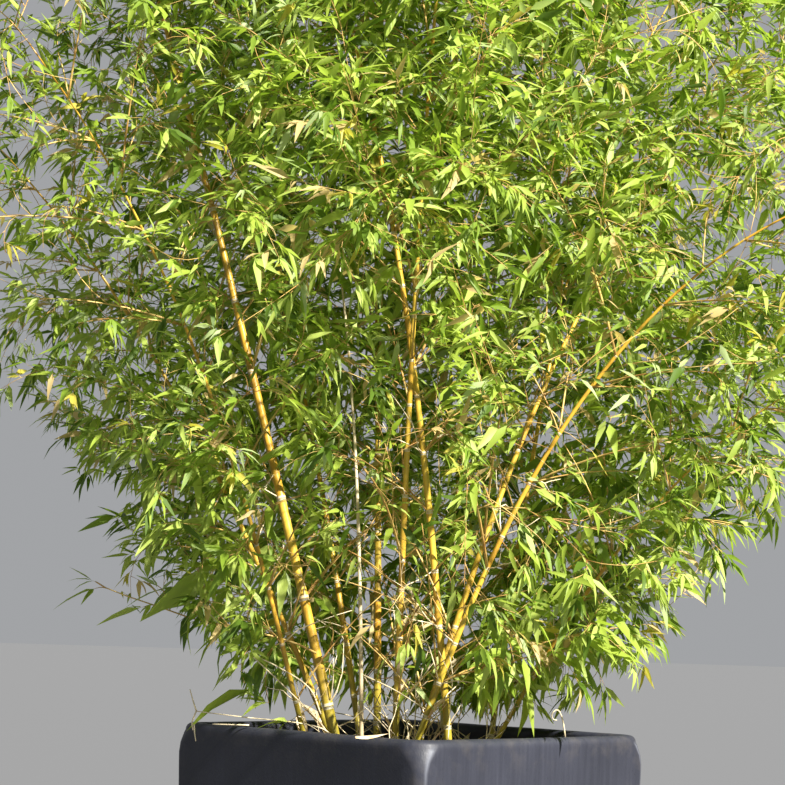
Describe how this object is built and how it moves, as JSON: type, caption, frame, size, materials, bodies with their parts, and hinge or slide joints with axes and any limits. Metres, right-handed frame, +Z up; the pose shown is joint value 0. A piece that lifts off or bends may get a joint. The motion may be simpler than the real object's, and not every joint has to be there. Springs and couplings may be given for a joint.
{
  "type": "potted bamboo",
  "caption": "Clump of arching golden bamboo culms with dense lance-shaped green leaves, rooted in soil in a square planter with a dark glaze.",
  "frame": {"origin": "centre of the planter's flat underside", "axes": "+Z up, X and Y along the planter's sides"},
  "size_m": [1.5253, 1.5593, 2.2926],
  "materials": {
    "pot": "dark blue-black glaze, brown where worn at the rim and corners",
    "soil": "moist potting soil",
    "culm": "smooth golden-yellow cane, olive near the ground",
    "dead_culm": "bleached dry cane",
    "foliage": "thin satin leaves, bright yellow-green"
  },
  "bodies": {
    "root": {"pot": "pot", "soil": "soil", "culm_back": "culm", "culm_back_left": "culm", "culm_centre_left": "culm", "culm_dead": "dead_culm", "culm_far_left": "culm", "culm_front_centre": "culm", "culm_front_left": "culm", "culm_left_back": "culm", "culm_low_right": "culm", "culm_right": "culm", "culm_right_back": "culm", "culm_thick_left": "culm", "culm_thin_right": "culm", "foliage_back_1": "foliage", "foliage_back_2": "foliage", "foliage_back_3": "foliage", "foliage_back_left_1": "foliage", "foliage_back_left_2": "foliage", "foliage_back_left_3": "foliage", "foliage_back_left_4": "foliage", "foliage_centre_left_1": "foliage", "foliage_centre_left_2": "foliage", "foliage_centre_left_3": "foliage", "foliage_centre_left_4": "foliage", "foliage_far_left_1": "foliage", "foliage_far_left_2": "foliage", "foliage_far_left_3": "foliage", "foliage_front_centre_1": "foliage", "foliage_front_centre_2": "foliage", "foliage_front_centre_3": "foliage", "foliage_front_centre_4": "foliage", "foliage_front_left_1": "foliage", "foliage_front_left_2": "foliage", "foliage_front_left_3": "foliage", "foliage_left_back_1": "foliage", "foliage_left_back_2": "foliage", "foliage_left_back_3": "foliage", "foliage_left_back_4": "foliage", "foliage_low_right_1": "foliage", "foliage_low_right_2": "foliage", "foliage_right_1": "foliage", "foliage_right_2": "foliage", "foliage_right_3": "foliage", "foliage_right_back_1": "foliage", "foliage_right_back_2": "foliage", "foliage_right_back_3": "foliage", "foliage_right_back_4": "foliage", "foliage_thick_left_1": "foliage", "foliage_thick_left_2": "foliage", "foliage_thick_left_3": "foliage", "foliage_thick_left_4": "foliage", "foliage_thick_left_5": "foliage", "foliage_thin_right_1": "foliage", "foliage_thin_right_2": "foliage", "foliage_thin_right_3": "foliage", "foliage_thin_right_4": "foliage"}
  },
  "joints": []
}
